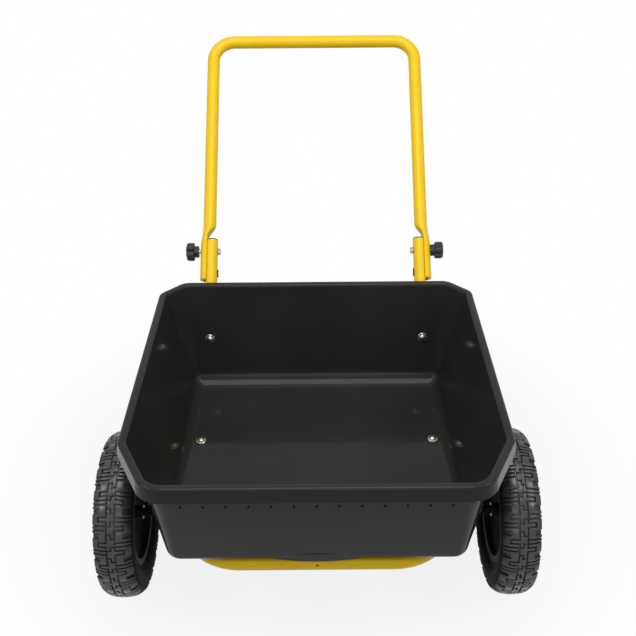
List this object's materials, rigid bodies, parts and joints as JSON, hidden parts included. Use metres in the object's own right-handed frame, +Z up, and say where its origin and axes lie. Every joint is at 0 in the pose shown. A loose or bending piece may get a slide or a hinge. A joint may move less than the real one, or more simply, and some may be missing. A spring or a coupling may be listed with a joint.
{
  "type": "garden cart",
  "caption": "Two-wheeled yard cart with a deep black moulded tub on a bent yellow tube frame, knobbly pneumatic tyres, a rear stand and a U-shaped handle that folds over the tub.",
  "frame": {"origin": "centre of the whole cart's footprint box, on the ground", "axes": "+Z up; the front of the tub faces -Y and the handle stands towards +Y; the axle runs along X"},
  "size_m": [0.9126, 1.2666, 0.9449],
  "materials": {
    "yellow_zinc": "yellow-passivated zinc plate",
    "yellow_powder_coat": "gloss powder coat",
    "black_rim_paint": "satin paint",
    "black_nylon": "moulded, satin",
    "black_rubber": "matt",
    "brass_insert": "plain",
    "black_polyethylene": "moulded, semi-gloss",
    "tyre_rubber": "matt"
  },
  "bodies": {
    "chassis": {"axle": "yellow_zinc", "axle_bracket_left": "yellow_powder_coat", "axle_bracket_right": "yellow_powder_coat", "axle_spacer_left": "black_rim_paint", "axle_spacer_right": "black_rim_paint", "axle_washer_left": "yellow_zinc", "axle_washer_right": "yellow_zinc", "cotter_pin_left": "yellow_zinc", "cotter_pin_right": "yellow_zinc", "floor_bolt_left": "yellow_zinc", "floor_bolt_right": "yellow_zinc", "floor_nut_left": "yellow_zinc", "floor_nut_right": "yellow_zinc", "frame_end_cap_left": "black_nylon", "frame_end_cap_right": "black_nylon", "frame_side_plug_left": "black_nylon", "frame_side_plug_right": "black_nylon", "frame_tube": "yellow_powder_coat", "handle_bolt_left": "yellow_zinc", "handle_bolt_right": "yellow_zinc", "handle_washer_left": "yellow_zinc", "handle_washer_right": "yellow_zinc", "rear_bolt_left": "yellow_zinc", "rear_bolt_right": "yellow_zinc", "rear_nut_left": "yellow_zinc", "rear_nut_right": "yellow_zinc", "stand_bolt_left": "yellow_zinc", "stand_bolt_right": "yellow_zinc", "stand_foot_left": "black_rubber", "stand_foot_right": "black_rubber", "stand_nut_left": "yellow_zinc", "stand_nut_right": "yellow_zinc", "stand_tube": "yellow_powder_coat", "tub": "black_polyethylene"},
    "handle": {"handle_tube": "yellow_powder_coat"},
    "knob_left": {"knob_left": "black_nylon", "knob_insert_left": "brass_insert"},
    "knob_right": {"knob_right": "black_nylon", "knob_insert_right": "brass_insert"},
    "wheel_left": {"bush_inner_left": "black_nylon", "bush_outer_left": "black_nylon", "hub_left": "black_rim_paint", "inner_tube_left": "black_rubber", "rim_inner_left": "black_rim_paint", "rim_outer_left": "black_rim_paint", "tyre_left": "tyre_rubber", "valve_cap_left": "black_nylon", "valve_stem_left": "black_rubber"},
    "wheel_right": {"bush_inner_right": "black_nylon", "bush_outer_right": "black_nylon", "hub_right": "black_rim_paint", "inner_tube_right": "black_rubber", "rim_inner_right": "black_rim_paint", "rim_outer_right": "black_rim_paint", "tyre_right": "tyre_rubber", "valve_cap_right": "black_nylon", "valve_stem_right": "black_rubber"}
  },
  "joints": [
    {"name": "handle_fold", "type": "hinge", "parent": "chassis", "child": "handle", "pos_m": [0, 0.19247, 0.526], "axis": [1, 0, 0], "range_deg": [0, 136]},
    {"name": "knob_turn_left", "type": "hinge", "parent": "chassis", "child": "knob_left", "pos_m": [-0.291, 0.19247, 0.526], "axis": [1, 0, 0], "continuous": true},
    {"name": "knob_turn_right", "type": "hinge", "parent": "chassis", "child": "knob_right", "pos_m": [0.2871, 0.19247, 0.526], "axis": [1, 0, 0], "continuous": true},
    {"name": "wheel_spin_left", "type": "hinge", "parent": "chassis", "child": "wheel_left", "pos_m": [-0.411, -0.35753, 0.178], "axis": [1, 0, 0], "continuous": true},
    {"name": "wheel_spin_right", "type": "hinge", "parent": "chassis", "child": "wheel_right", "pos_m": [0.411, -0.35753, 0.178], "axis": [1, 0, 0], "continuous": true}
  ]
}
